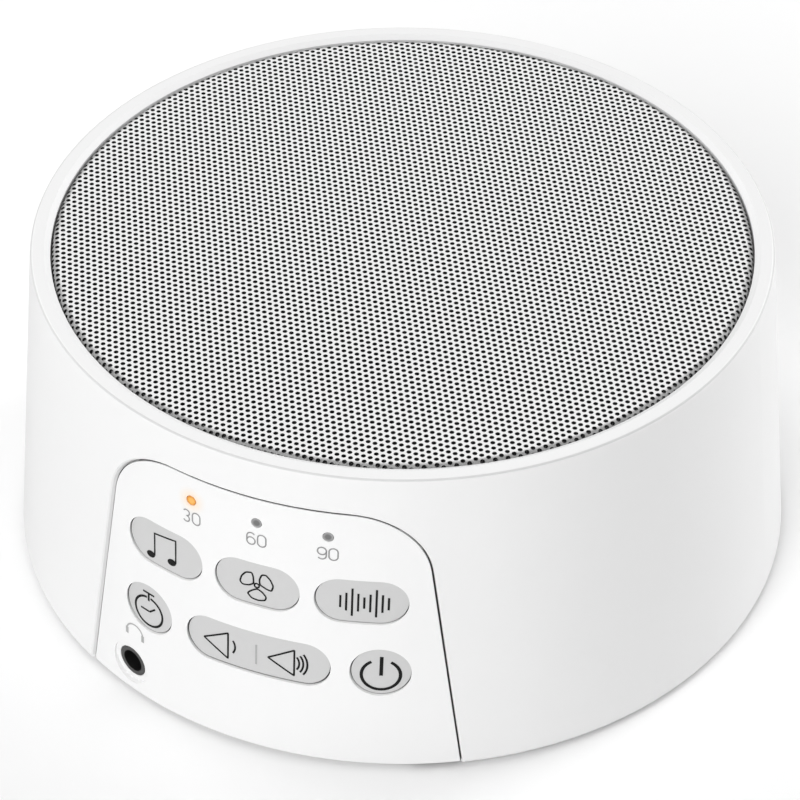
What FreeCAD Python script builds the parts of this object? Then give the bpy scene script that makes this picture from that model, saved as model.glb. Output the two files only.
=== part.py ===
import FreeCAD, Part
import math
import os
from FreeCAD import Vector, Rotation, Placement

# White noise sound machine, in millimetres. The origin is on the floor under the middle of the
# body, +Z is up and the control panel faces -Y.

# Housing: a straight tapered drum that stands on low feet
TOP_R = 55.0
BASE_R = 59.7
SHELL_H = 51.0
WALL = 2.2
FOOT_PROUD = 1.0
EDGE_ROUND = 0.45

# Rim, speaker deck and grille well
RIM_W = 2.05
RIM_BEVEL_W = 0.9
RIM_BEVEL_H = 0.55
WELL_DEPTH = 2.4
DECK_T = 2.0

# Perforated grille: flat field, rolled edge and a skirt that stands on the deck
SHEET = 0.6
GRILLE_SINK = 0.45
GRILLE_GAP = 0.15
GRILLE_ROLL = 0.9
HOLE_PITCH = 7.8
HOLE_ACROSS = 4.6
FIELD_MARGIN = 4.6
CLOTH_T = 0.3
TAB_COUNT = 3
TAB_W = 4.0
TAB_DROP = 2.6
TAB_TURN = 90.0

# Window in the front wall, drawn in front view, wider at the bottom
WINDOW_HALF = 29.2
WINDOW_LEAN = 8.23
WINDOW_TOP = 44.3
WINDOW_CORNER = 11.0
WINDOW_CHAMFER = 0.65

# Control panel, set into the window
PANEL_SINK = 0.54
PANEL_T = 2.0
PANEL_GAP = 0.14
PANEL_LIP = 1.6
PANEL_LIP_T = 1.2
PANEL_FRAME_W = 1.6
PANEL_FOOT_H = 3.0

# Keys, drawn in front view; heights are above the bottom edge of the housing
KEY_GAP = 0.15
KEY_SINK = 0.35
KEY_LIP = 0.9
KEY_LIP_T = 0.9
KEY_REST_GAP = 0.1
KEY_TRAVEL = 0.3
ROW1_Z = 29.25
ROW1_PITCH = 14.95
ROW1_LONG = 12.95
ROW1_HIGH = 7.65
ROW2_Z = 16.87
ROUND_X = 17.95
ROUND_D = 8.4
BAR_LONG = 22.3
BAR_HIGH = 7.65
BAR_GAP = 0.22
BAR_REST_GAP = 0.55
BAR_FOOT_X = 7.5
STEM_R = 1.7
TRUNNION_R = 0.8
TRUNNION_LONG = 1.1
TRUNNION_BACK = 1.5
TRUNNION_WALL = 1.1
EAR_W = 4.0
EAR_T = 1.4
EAR_GAP = 0.25

# Indicator lamps
LAMP_Z = 40.15
LAMP_PITCH = 10.3
LENS_R = 0.7
LENS_ROD_R = 1.2
LENS_GAP = 0.1
LAMP_R = 1.5
LAMP_LONG = 3.6
LENS_ROOT = 1.0

# Key board, switches and the bosses that carry the board
KEYBOARD_INSET = 15.7
KEYBOARD_Y = KEYBOARD_INSET - BASE_R
BOARD_T = 1.6
KEYBOARD_HALF = 25.0
KEYBOARD_LOW = 9.9
KEYBOARD_HIGH = 44.3
KEYBOARD_CORNER = 7.0
SWITCH_W = 6.0
SWITCH_H = 3.5
PLUNGER_R = 1.4
PLUNGER_OUT = 0.8
PLUNGER_IN = 1.2
PLUNGER_GAP = 0.12
BAR_PRELOAD_GAP = 0.28
BOSS_R = 2.2
TOP_BOSS_X = 18.0
TOP_BOSS_Z = 39.0
LOW_BOSS_X = 12.4
LOW_BOSS_Z = 11.9

# Headphone jack
JACK_TURN = -21.6
JACK_Z = 4.6
JACK_BORE_R = 1.8
JACK_NOSE_R = 2.5
JACK_NOSE_GAP = 0.1
JACK_DISH_R = 3.5
JACK_DISH_SINK = 0.45
JACK_NOSE_LONG = 2.6
JACK_BODY_W = 6.4
JACK_BODY_H = 4.4
JACK_BODY_LONG = 12.4
JACK_DEPTH = 14.2

# Main board and what stands on it
CHIP_AT = (-8.0, -16.0)
AMP_AT = (12.0, 8.0)
CAN_AT = (16.0, 20.0)
RIBBON_RISE = 12.0
RIBBON_CORNER = 2.5
MAIN_HALF = 27.5
MAIN_FRONT = -47.0
MAIN_BACK = 43.0
MAIN_CORNER = 3.0
POST_R = 2.6
POST_X = 23.5
POST_FRONT = -36.0
POST_REAR = 36.0
CHIP_W = 9.0
CHIP_T = 1.5
AMP_W = 7.0
CAN_R = 3.1
CAN_H = 9.0
CAN_PITCH = 8.4
PLUG_W = 8.0
PLUG_D = 5.0
PLUG_H = 6.0

# Power socket in the rear wall
SOCKET_W = 9.0
SOCKET_H = 11.0
SOCKET_LONG = 14.0
SOCKET_AXIS_UP = 6.5
SOCKET_BORE_R = 3.1
SOCKET_PIN_R = 1.0
SOCKET_DEPTH = 9.5
SOCKET_HOLE_R = 4.4
SOCKET_HOLE_BEVEL = 0.6
SOCKET_GAP = 0.3

# Speaker, hung under the deck
SPEAKER_OPENING_R = 27.0
GASKET_T = 0.8
GASKET_W = 4.4
FLANGE_R = 33.5
FLANGE_T = 1.0
BASKET_T = 1.0
BASKET_TOP_R = 27.2
BASKET_LOW_R = 16.5
BASKET_DEEP = 13.5
BASKET_WINDOWS = 4
BASKET_WINDOW_ANGLE = 62.0
TOP_PLATE_T = 2.0
MAGNET_R = 16.0
MAGNET_T = 7.0
BACK_PLATE_R = 15.0
BACK_PLATE_T = 2.0
POLE_R = 5.6
COIL_R = 6.3
COIL_T = 0.35
PLATE_BORE_R = 7.2
CONE_T = 0.6
CONE_DEEP = 8.4
CAP_R = 8.0
CAP_RISE = 2.4
ROLL_W = 3.6
SURROUND_GAP = 0.6
CONE_R = SPEAKER_OPENING_R - SURROUND_GAP - ROLL_W
SURROUND_T = 0.5
SPIDER_R = 14.6
SPIDER_T = 0.5
SPIDER_WAVE = 0.6
SPEAKER_HOLE_R = 31.0
SEAM = 0.1

# Screws
SCREW_R = 1.1
SCREW_HEAD_R = 2.1
SCREW_HEAD_T = 1.3
SCREW_GAP = 0.2
DRIVE_R = 0.75
DRIVE_DEEP = 0.7

# Base cover, its bosses and the feet
BASE_T = 2.0
BASE_RECESS = 0.3
BASE_GAP = 0.3
BASE_BOSS_WALL = 1.2
BASE_SCREW_DEEP = 9.0
BOSS_CIRCLE_R = 47.5
BASE_BOSS_R = 3.4
BASE_BOSS_H = 4.6
FOOT_R = 5.0
FOOT_T = 1.7
FOOT_GAP = 0.15
FOOT_ROUND = 0.4

# Leads inside
LEAD_R = 0.6
LEAD_SPREAD = 2.2
LEAD_PITCH = 2.8
LEAD_TAIL = 3.9
LEAD_DROP = 14.0
LEAD_RISE = 8.0
LEAD_STAGGER = 2.0
LEAD_CURVE = 4.0
RIBBON_W = 10.0
RIBBON_T = 0.5
RIBBON_X = 2.0

# General clearance, how far a grown piece runs into its root, and how far a cutter runs past
CLEAR = 0.3
ROOT = 0.5
BEYOND = 5.0

# Flat sides of the small round pieces and holes inside, and steps of a turned bend
SIDES = 10
BEND_STEPS = 2

# Heights worked out from the sizes above
base_z = FOOT_PROUD
top_z = base_z + SHELL_H
deck_top = top_z - WELL_DEPTH
deck_low = deck_top - DECK_T
well_r = TOP_R - RIM_W - RIM_BEVEL_W
grille_r = well_r - GRILLE_GAP
grille_top = top_z - GRILLE_SINK
field_r = grille_r - GRILLE_ROLL
gasket_low = deck_low - GASKET_T
flange_low = gasket_low - FLANGE_T
main_low = base_z + JACK_Z + JACK_BODY_H / 2
main_top = main_low + BOARD_T
keyboard_back = KEYBOARD_Y + BOARD_T
plunger_front = KEYBOARD_Y - SWITCH_H - PLUNGER_OUT
panel_back = PANEL_SINK + PANEL_T
window_top_z = base_z + WINDOW_TOP
base_low = base_z + BASE_RECESS
base_top = base_low + BASE_T


def wall_radius(z):
    """Outer radius of the tapered wall at height z."""
    return BASE_R + (TOP_R - BASE_R) * (z - base_z) / SHELL_H


def drum(low, high, inset):
    """Solid inside the tapered wall, drawn in by inset, between two heights."""
    return Part.makeCone(wall_radius(low) - inset, wall_radius(high) - inset, high - low,
                         Vector(0, 0, low))


def layer(outer_inset, inner_inset):
    """Tapered layer of the wall between two insets, over the whole height."""
    return drum(base_z, top_z, outer_inset).cut(drum(base_z - BEYOND, top_z + BEYOND, inner_inset))


def surface_y(x, z, inset):
    """Where the front of the tapered wall, drawn in by inset, lies at x and z."""
    return -math.sqrt((wall_radius(z) - inset) ** 2 - x * x)


def rod(radius, start, length, axis):
    return Part.makeCylinder(radius, length, start, axis)


def rod_y(radius, x, z, y_front, y_back):
    return rod(radius, Vector(x, y_front, z), y_back - y_front, Vector(0, 1, 0))


def rod_z(radius, x, y, low, high):
    return rod(radius, Vector(x, y, low), high - low, Vector(0, 0, 1))


def peg(radius, start, length, axis):
    """Rod with flat sides, for the small round pieces and holes inside."""
    corners = [Vector(*polar(radius, a), 0) for a in around(SIDES)]
    prism = Part.Face(Part.makePolygon(corners + corners[:1])).extrude(Vector(0, 0, length))
    return placed(prism, start.x, start.y, start.z, axis)


def peg_y(radius, x, z, y_front, y_back):
    return peg(radius, Vector(x, y_front, z), y_back - y_front, Vector(0, 1, 0))


def peg_z(radius, x, y, low, high):
    return peg(radius, Vector(x, y, low), high - low, Vector(0, 0, 1))


def block(x0, x1, y0, y1, z0, z1):
    return Part.makeBox(x1 - x0, y1 - y0, z1 - z0, Vector(x0, y0, z0))


def ring(outer, inner, low, high):
    return rod_z(outer, 0, 0, low, high).cut(rod_z(inner, 0, 0, low - 1, high + 1))


def turned(points):
    """Solid turned about Z from a closed outline of (radius, height) points."""
    outline = [Vector(r, 0, z) for r, z in points]
    face = Part.Face(Part.makePolygon(outline + outline[:1]))
    return face.revolve(Vector(0, 0, 0), Vector(0, 0, 1), 360)


def bend(r, z, wide, high, start, stop):
    """Outline points along an arc about (r, z), given by its half width, height and angles."""
    angles = [math.radians(start + (stop - start) * i / BEND_STEPS) for i in range(BEND_STEPS + 1)]
    return [(r + wide * math.cos(a), z + high * math.sin(a)) for a in angles]


def around(count, start=0.0):
    """Angles of a ring of equal places, in degrees."""
    return [start + 360.0 * i / count for i in range(count)]


def at_angle(shape, degrees):
    return shape.rotated(Vector(0, 0, 0), Vector(0, 0, 1), degrees)


def polar(radius, degrees):
    return radius * math.cos(math.radians(degrees)), radius * math.sin(math.radians(degrees))


def slot_wire(x, z, long, high, y):
    """Outline with round ends in front view; a circle where long equals high."""
    radius = high / 2
    half = long / 2 - radius
    if half < 1e-6:
        return Part.Wire(Part.makeCircle(radius, Vector(x, y, z), Vector(0, 1, 0)))
    left, right = x - half, x + half
    corners = [Vector(left, y, z + radius), Vector(right, y, z + radius),
               Vector(right, y, z - radius), Vector(left, y, z - radius)]
    right_end = Part.Arc(corners[1], Vector(right + radius, y, z), corners[2])
    left_end = Part.Arc(corners[3], Vector(left - radius, y, z), corners[0])
    return Part.Wire([Part.makeLine(corners[0], corners[1]), right_end.toShape(),
                      Part.makeLine(corners[2], corners[3]), left_end.toShape()])


def slot_prism(x, z, long, high):
    """The same outline run through the front wall along Y."""
    face = Part.Face(slot_wire(x, z, long, high, -BASE_R - BEYOND))
    return face.extrude(Vector(0, BASE_R + BEYOND, 0))


def window_prism(grow):
    """The window outline, grown all round, run through the front wall along Y."""
    lean = math.radians(WINDOW_LEAN)
    low = base_z - BEYOND
    high = window_top_z + grow
    half_at_base = WINDOW_HALF + grow / math.cos(lean)
    half_low = half_at_base - (low - base_z) * math.tan(lean)
    half_high = half_at_base - (high - base_z) * math.tan(lean)
    radius = WINDOW_CORNER + grow
    y = -BASE_R - BEYOND
    outline = Part.makePolygon([Vector(-half_low, y, low), Vector(half_low, y, low),
                                Vector(half_high, y, high), Vector(-half_high, y, high),
                                Vector(-half_low, y, low)])
    prism = Part.Face(outline).extrude(Vector(0, BASE_R + BEYOND, 0))
    corners = [e for e in prism.Edges
               if len(e.Vertexes) == 2 and all(abs(v.Z - high) < 1e-6 for v in e.Vertexes)
               and abs(e.Vertexes[0].X - e.Vertexes[1].X) < 1e-6]
    return prism.makeFillet(radius, corners)


def screw(length):
    """Pan head screw that points along +Z, with its head below Z = 0."""
    shank = peg_z(SCREW_R, 0, 0, 0, length)
    head = peg_z(SCREW_HEAD_R, 0, 0, -SCREW_HEAD_T, 0)
    drive = peg_z(DRIVE_R, 0, 0, -SCREW_HEAD_T, DRIVE_DEEP - SCREW_HEAD_T)
    return shank.fuse(head).cut(drive)


def placed(shape, x, y, z, axis=Vector(0, 0, 1)):
    """A copy with its Z axis turned to the given axis and its origin moved."""
    copy = shape.copy()
    copy.Placement = Placement(Vector(x, y, z), Rotation(Vector(0, 0, 1), axis))
    return copy


def group(shapes):
    return Part.makeCompound(shapes)


def save(name, shape):
    shape.exportStep("parts/" + name + ".step")


base_places = [polar(BOSS_CIRCLE_R, a) for a in around(4, 45.0)]
speaker_places = [polar(SPEAKER_HOLE_R, a) for a in around(4, 45.0)]
keyboard_places = [(x, base_z + z) for x, z in ((-TOP_BOSS_X, TOP_BOSS_Z), (TOP_BOSS_X, TOP_BOSS_Z),
                                               (-LOW_BOSS_X, LOW_BOSS_Z), (LOW_BOSS_X, LOW_BOSS_Z))]
post_places = [(x, y) for x in (-POST_X, POST_X) for y in (POST_FRONT, POST_REAR)]
key_row1 = base_z + ROW1_Z
key_row2 = base_z + ROW2_Z
lamp_z = base_z + LAMP_Z
jack_z = base_z + JACK_Z
socket_z = main_top + SOCKET_AXIS_UP
socket_face = -surface_y(SOCKET_W / 2, main_top + SOCKET_H, WALL) - SOCKET_GAP
jack_front = surface_y(0, jack_z, PANEL_SINK) + JACK_DISH_SINK
bar_axis_y = surface_y(0, key_row2, panel_back) + BAR_REST_GAP + TRUNNION_BACK

# Place and size in front view of the five keys that are pressed straight in
push_keys = {
    "music": (-ROW1_PITCH, key_row1, ROW1_LONG, ROW1_HIGH),
    "fan": (0.0, key_row1, ROW1_LONG, ROW1_HIGH),
    "noise": (ROW1_PITCH, key_row1, ROW1_LONG, ROW1_HIGH),
    "timer": (-ROUND_X, key_row2, ROUND_D, ROUND_D),
    "power": (ROUND_X, key_row2, ROUND_D, ROUND_D),
}
lamps = {"30": -LAMP_PITCH, "60": 0.0, "90": LAMP_PITCH}
bar_feet = {"volume_down": -BAR_FOOT_X, "volume_up": BAR_FOOT_X}


def housing_shell():
    """Drum with a rim, a sunk deck for the speaker and a chamfered window."""
    lean = math.degrees(math.atan((BASE_R - TOP_R) / SHELL_H))
    ease = EDGE_ROUND / math.cos(math.radians(lean))
    low, high = base_z + EDGE_ROUND, top_z - EDGE_ROUND
    foot = bend(wall_radius(low) - ease, low, EDGE_ROUND, EDGE_ROUND, -90, lean)
    brow = bend(wall_radius(high) - ease, high, EDGE_ROUND, EDGE_ROUND, lean, 90)
    rounded = turned([(0, base_z)] + foot + brow + [(0, top_z)])
    blank = drum(base_z - BEYOND, top_z + BEYOND, 0).cut(window_prism(0))
    lips = [e for e in blank.Edges if on_window_lip(e)]
    body = blank.makeChamfer(WINDOW_CHAMFER, lips).common(rounded)
    body = body.cut(drum(base_z - BEYOND, deck_low, WALL))
    body = body.cut(rod_z(well_r, 0, 0, deck_top, top_z + BEYOND))
    body = body.cut(Part.makeCone(well_r, well_r + RIM_BEVEL_W, RIM_BEVEL_H,
                                  Vector(0, 0, top_z - RIM_BEVEL_H)))
    body = body.cut(rod_z(SPEAKER_OPENING_R, 0, 0, deck_low - 1, deck_top + 1))
    for x, y in base_places:
        reach = base_low + BASE_BOSS_H
        body = body.fuse(peg_z(BASE_BOSS_R, x, y, reach, deck_low + DECK_T / 2))
        body = body.cut(peg_z(SCREW_R + SCREW_GAP, x, y, reach - 1, reach + BASE_SCREW_DEEP))
    for x, y in speaker_places:
        body = body.cut(peg_z(SCREW_R + SCREW_GAP, x, y, deck_low - 1, deck_top + 1))
    for angle in around(TAB_COUNT, TAB_TURN):
        body = body.cut(at_angle(tab_block(CLEAR), angle))
    rear = wall_radius(socket_z)
    body = body.cut(rod_y(SOCKET_HOLE_R, 0, socket_z, rear - BEYOND, rear + BEYOND))
    bevel = Part.makeCone(SOCKET_HOLE_R, SOCKET_HOLE_R + BEYOND, BEYOND,
                          Vector(0, rear - SOCKET_HOLE_BEVEL, socket_z), Vector(0, 1, 0))
    return body.cut(bevel)


def on_window_lip(edge):
    """True for an edge where the window meets the outside of the wall."""
    middle = edge.valueAt((edge.FirstParameter + edge.LastParameter) / 2)
    outside = abs(math.hypot(middle.x, middle.y) - wall_radius(middle.z)) < 1e-3
    return outside and middle.y < 0 and base_z < middle.z < window_top_z + 1 and abs(middle.x) < WINDOW_HALF


def tab_block(grow):
    """One fixing tab of the grille, or its slot in the deck when grown."""
    return block(grille_r - SHEET - grow, grille_r + min(grow, GRILLE_GAP), -TAB_W / 2 - grow,
                 TAB_W / 2 + grow, deck_low - TAB_DROP, deck_top + SHEET)


def grille():
    """Perforated disc with a rolled edge; the skirt stands on the deck."""
    middle = grille_top - GRILLE_ROLL
    inside = GRILLE_ROLL - SHEET
    skirt = turned(bend(field_r, middle, GRILLE_ROLL, GRILLE_ROLL, 90, 0)
                   + [(grille_r, deck_top), (grille_r - SHEET, deck_top)]
                   + bend(field_r, middle, inside, inside, 0, 90))
    holes = []
    rows = int(grille_r / HOLE_PITCH)
    for row in range(-rows, rows + 1):
        shift = HOLE_PITCH / 2 if row % 2 else 0.0
        for column in range(-rows, rows + 1):
            x, y = column * HOLE_PITCH + shift, row * HOLE_PITCH
            if math.hypot(x, y) < grille_r - FIELD_MARGIN:
                holes.append(hexagon(x, y, grille_top - SHEET))
    rim = Part.Wire(Part.makeCircle(field_r, Vector(0, 0, grille_top - SHEET)))
    field = Part.Face([rim] + holes).extrude(Vector(0, 0, SHEET))
    sheet = skirt.fuse(field)
    for angle in around(TAB_COUNT, TAB_TURN):
        sheet = sheet.fuse(at_angle(tab_block(0), angle))
    return sheet


def dust_cloth():
    """Black cloth glued under the holes."""
    return rod_z(field_r, 0, 0, grille_top - SHEET - CLOTH_T, grille_top - SHEET)


def hexagon(x, y, z):
    radius = HOLE_ACROSS / 2 / math.cos(math.radians(30))
    corners = [Vector(x + radius * math.cos(math.radians(a)), y + radius * math.sin(math.radians(a)), z)
               for a in around(6, 90.0)]
    return Part.makePolygon(corners + corners[:1])


def control_panel():
    """Curved plate that fills the window, with a lip behind the wall."""
    plate = layer(PANEL_SINK, panel_back).common(window_prism(-PANEL_GAP))
    lip_front = WALL + CLEAR
    lip = layer(lip_front, lip_front + PANEL_LIP_T).common(window_prism(PANEL_LIP))
    back_reach = lip_front + PANEL_LIP_T
    pad = layer(panel_back - ROOT, back_reach).common(window_prism(-PANEL_GAP))
    opening = window_prism(-PANEL_GAP - PANEL_FRAME_W)
    frame = pad.cut(opening.cut(drum(base_z - BEYOND, base_z + PANEL_FOOT_H, 0)))
    lip = lip.cut(opening)
    panel = plate.fuse(frame).fuse(lip)
    for x, z in keyboard_places:
        front = surface_y(x, z, panel_back) - ROOT
        panel = panel.fuse(peg_y(BOSS_R, x, z, front, KEYBOARD_Y))
    ear_front = surface_y(0, key_row2, panel_back) - ROOT
    ear_back = bar_axis_y + TRUNNION_R + TRUNNION_WALL
    for side in (-1, 1):
        near = key_row2 + side * (BAR_HIGH / 2 + KEY_LIP + EAR_GAP)
        far = near + side * EAR_T
        panel = panel.fuse(block(-EAR_W / 2, EAR_W / 2, ear_front, ear_back,
                                 min(near, far), max(near, far)))
    bearing = peg_z(TRUNNION_R + KEY_GAP, 0, bar_axis_y, key_row2 - BAR_HIGH, key_row2 + BAR_HIGH)
    panel = panel.cut(bearing)
    for x, z, long, high in push_keys.values():
        panel = panel.cut(slot_prism(x, z, long, high))
    panel = panel.cut(slot_prism(0, key_row2, BAR_LONG, BAR_HIGH))
    for x in lamps.values():
        panel = panel.cut(rod_y(LENS_R + LENS_GAP, x, lamp_z, -BASE_R - BEYOND, KEYBOARD_Y))
    for x, z in keyboard_places:
        panel = panel.cut(peg_y(SCREW_R + SCREW_GAP, x, z, KEYBOARD_Y - BEYOND, KEYBOARD_Y + 1))
    dish = rod_y(JACK_DISH_R, 0, jack_z, -BASE_R - BEYOND, jack_front)
    hole = rod_y(JACK_NOSE_R + JACK_NOSE_GAP, 0, jack_z, -BASE_R, KEYBOARD_Y)
    half = JACK_BODY_W / 2 + CLEAR
    room = block(-half, half, jack_front + JACK_NOSE_LONG - CLEAR, KEYBOARD_Y, base_z - BEYOND,
                 main_low + BOARD_T + CLEAR)
    return panel.cut(at_angle(dish.fuse(hole).fuse(room), JACK_TURN))


def key_cap(x, z, long, high, gap, rest_gap):
    """Key with a curved face in the panel, a lip behind it and a stem to the switch."""
    front = layer(PANEL_SINK + KEY_SINK, panel_back + KEY_LIP_T)
    cap = front.common(slot_prism(x, z, long - 2 * gap, high - 2 * gap))
    lip_front = panel_back + rest_gap
    lip = layer(lip_front, lip_front + KEY_LIP_T)
    return cap.fuse(lip.common(slot_prism(x, z, long + 2 * KEY_LIP, high + 2 * KEY_LIP)))


def push_key(name):
    x, z, long, high = push_keys[name]
    cap = key_cap(x, z, long, high, KEY_GAP, KEY_REST_GAP)
    start = surface_y(x, z, panel_back + KEY_LIP_T / 2)
    return cap.fuse(peg_y(STEM_R, x, z, start, plunger_front))


def volume_bar():
    """Rocking bar with a trunnion above and below its middle and two feet."""
    bar = key_cap(0, key_row2, BAR_LONG, BAR_HIGH, BAR_GAP, BAR_REST_GAP)
    for x in bar_feet.values():
        start = surface_y(x, key_row2, panel_back + BAR_REST_GAP + KEY_LIP_T / 2)
        bar = bar.fuse(peg_y(STEM_R, x, key_row2, start, plunger_front - BAR_PRELOAD_GAP))
    half = BAR_HIGH / 2 + KEY_LIP + TRUNNION_LONG
    pin = peg_z(TRUNNION_R, 0, bar_axis_y, key_row2 - half, key_row2 + half)
    rib = block(-TRUNNION_R, TRUNNION_R, surface_y(0, key_row2, panel_back + BAR_REST_GAP + ROOT),
                bar_axis_y, key_row2 - BAR_HIGH / 2 - KEY_LIP, key_row2 + BAR_HIGH / 2 + KEY_LIP)
    return bar.fuse(pin).fuse(rib)


def switch_body(x, z):
    body = block(x - SWITCH_W / 2, x + SWITCH_W / 2, KEYBOARD_Y - SWITCH_H, KEYBOARD_Y,
                 z - SWITCH_W / 2, z + SWITCH_W / 2)
    well = peg_y(PLUNGER_R + PLUNGER_GAP, x, z, KEYBOARD_Y - SWITCH_H - 1,
                 KEYBOARD_Y - SWITCH_H + PLUNGER_IN + KEY_TRAVEL + CLEAR)
    return body.cut(well)


def plunger(x, z):
    return peg_y(PLUNGER_R, x, z, plunger_front, KEYBOARD_Y - SWITCH_H + PLUNGER_IN)


def lens(x):
    """Light pipe: a thin tip flush with the panel and a thicker rod to the lamp."""
    tip = rod_y(LENS_R, x, lamp_z, -BASE_R, surface_y(x, lamp_z, panel_back) + LENS_ROOT)
    tip = tip.common(drum(base_z, top_z, PANEL_SINK))
    rod_front = surface_y(abs(x) + LENS_ROD_R, lamp_z, panel_back) + LENS_GAP
    return tip.fuse(peg_y(LENS_ROD_R, x, lamp_z, rod_front, KEYBOARD_Y - LAMP_LONG - LENS_GAP))


def lamp(x):
    return peg_y(LAMP_R, x, lamp_z, KEYBOARD_Y - LAMP_LONG, KEYBOARD_Y)


def key_board():
    half, low, high = KEYBOARD_HALF, base_z + KEYBOARD_LOW, base_z + KEYBOARD_HIGH
    cut = KEYBOARD_CORNER
    outline = [(-half, low), (half, low), (half, high - cut), (half - cut, high),
               (cut - half, high), (-half, high - cut)]
    corners = [Vector(x, KEYBOARD_Y, z) for x, z in outline]
    board = Part.Face(Part.makePolygon(corners + corners[:1])).extrude(Vector(0, BOARD_T, 0))
    for x, z in keyboard_places:
        board = board.cut(peg_y(SCREW_R + SCREW_GAP, x, z, KEYBOARD_Y - 1, keyboard_back + 1))
    return board


def headphone_jack():
    """Jack body under the main board; its round nose looks straight out of the curved panel."""
    body_front = jack_front + JACK_NOSE_LONG
    nose = rod_y(JACK_NOSE_R, 0, jack_z, jack_front, body_front + SEAM)
    body = block(-JACK_BODY_W / 2, JACK_BODY_W / 2, body_front, body_front + JACK_BODY_LONG,
                 jack_z - JACK_BODY_H / 2, jack_z + JACK_BODY_H / 2)
    bore = rod_y(JACK_BORE_R, 0, jack_z, jack_front - 1, jack_front + JACK_DEPTH)
    return at_angle(nose.fuse(body).cut(bore), JACK_TURN)


def main_board():
    board = block(-MAIN_HALF, MAIN_HALF, MAIN_FRONT, MAIN_BACK, main_low, main_top)
    board = board.makeFillet(MAIN_CORNER, [e for e in board.Edges
                                           if abs(e.Vertexes[0].Z - e.Vertexes[1].Z) > BOARD_T / 2])
    for x, y in post_places:
        board = board.cut(peg_z(SCREW_R + SCREW_GAP, x, y, main_low - 1, main_top + 1))
    return board


def on_board(x, y, wide, deep, high):
    return block(x - wide / 2, x + wide / 2, y - deep / 2, y + deep / 2, main_top, main_top + high)


def capacitor(x, y):
    return peg_z(CAN_R, x, y, main_top, main_top + CAN_H)


def power_socket():
    """Round barrel socket on the board, facing the hole in the rear wall."""
    back = socket_face - SOCKET_LONG
    body = block(-SOCKET_W / 2, SOCKET_W / 2, back, socket_face, main_top, main_top + SOCKET_H)
    bore = rod_y(SOCKET_BORE_R, 0, socket_z, socket_face - SOCKET_DEPTH, socket_face + 1)
    pin = rod_y(SOCKET_PIN_R, 0, socket_z, socket_face - SOCKET_DEPTH - 1, socket_face - 1)
    return body.cut(bore).fuse(pin)


def speaker_basket():
    """Pressed frame: flange, tapered legs between windows and a seat for the magnet."""
    seat = flange_low - BASKET_DEEP
    outer, inner = BASKET_TOP_R, BASKET_LOW_R
    hole = PLATE_BORE_R + 2.4
    shell = turned([(FLANGE_R, gasket_low), (outer - BASKET_T, gasket_low),
                    (inner - BASKET_T, seat + BASKET_T), (hole, seat + BASKET_T), (hole, seat),
                    (inner, seat), (outer, flange_low), (FLANGE_R, flange_low)])
    wedge = turned([(inner + 1.0, seat + BASKET_T + 1.5), (inner + 1.0, flange_low - 2.0),
                    (FLANGE_R, flange_low - 2.0), (FLANGE_R, seat + BASKET_T + 1.5)])
    spread = Part.makeCylinder(FLANGE_R + 1, BASKET_DEEP + 4, Vector(0, 0, seat - 1),
                               Vector(0, 0, 1), BASKET_WINDOW_ANGLE)
    window = wedge.common(spread)
    for angle in around(BASKET_WINDOWS, -BASKET_WINDOW_ANGLE / 2):
        shell = shell.cut(at_angle(window, angle))
    for x, y in speaker_places:
        shell = shell.cut(peg_z(SCREW_R + SCREW_GAP, x, y, flange_low - 1, gasket_low + 1))
    shelf = ring(SPIDER_R + 1.4, SPIDER_R - 0.6, seat + BASKET_T, seat + BASKET_T + 1.8)
    return shell.fuse(shelf)


basket_seat = flange_low - BASKET_DEEP
top_plate_low = basket_seat - TOP_PLATE_T
magnet_low = top_plate_low - MAGNET_T
back_plate_low = magnet_low - BACK_PLATE_T
spider_z = basket_seat + BASKET_T + 1.8 + 0.1
cone_top = gasket_low + 0.2
cone_low = cone_top - CONE_DEEP
coil_low = magnet_low + 3.4


def speaker_pole():
    """Back plate with its centre pole."""
    plate = rod_z(BACK_PLATE_R, 0, 0, back_plate_low, magnet_low)
    return plate.fuse(rod_z(POLE_R, 0, 0, magnet_low, basket_seat + 0.2))


def speaker_cone():
    outer, neck = CONE_R, COIL_R + COIL_T
    return turned([(neck, cone_low), (outer, cone_top), (outer, cone_top + CONE_T),
                   (outer - 1.2, cone_top + CONE_T), (neck, cone_low + CONE_T + 0.5)])


def voice_coil():
    return ring(COIL_R + COIL_T, COIL_R, coil_low, cone_low + 0.4)


def dust_cap():
    """Shallow dome glued over the neck of the cone."""
    slope = CONE_DEEP / (CONE_R - COIL_R - COIL_T)
    foot = cone_low + CONE_T + ROOT + (CAP_R - COIL_R - COIL_T) * slope + CLEAR
    outer = bend(0, foot, CAP_R, CAP_RISE, 0, 90)
    inner = bend(0, foot, CAP_R - CONE_T, CAP_RISE - CONE_T, 90, 0)
    return turned(outer + inner)


def roll(inner, outer, z, rise, thickness):
    """Half roll between two radii."""
    middle, half = (inner + outer) / 2, (outer - inner) / 2
    return turned(bend(middle, z, half, rise, 180, 0)
                  + bend(middle, z, half - thickness, rise - thickness, 0, 180))


def surround():
    inner = CONE_R + SEAM
    return roll(inner, inner + ROLL_W, gasket_low + SEAM, ROLL_W / 2.4, SURROUND_T)


def spider():
    """Corrugated ring that centres the coil."""
    inner, outer = COIL_R + COIL_T + SEAM, SPIDER_R
    waves = 2
    step = (outer - inner) / (2 * waves)
    upper = [(inner + i * step, spider_z + (SPIDER_WAVE if i % 2 else 0)) for i in range(2 * waves + 1)]
    lower = [(r, z + SPIDER_T) for r, z in reversed(upper)]
    return turned(upper + lower)


def gasket():
    return ring(SPEAKER_HOLE_R + GASKET_W / 2, SPEAKER_HOLE_R - GASKET_W / 2, gasket_low, deck_low).cut(
        group([peg_z(SCREW_R + SCREW_GAP, x, y, gasket_low - 1, deck_low + 1) for x, y in speaker_places]))


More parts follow.
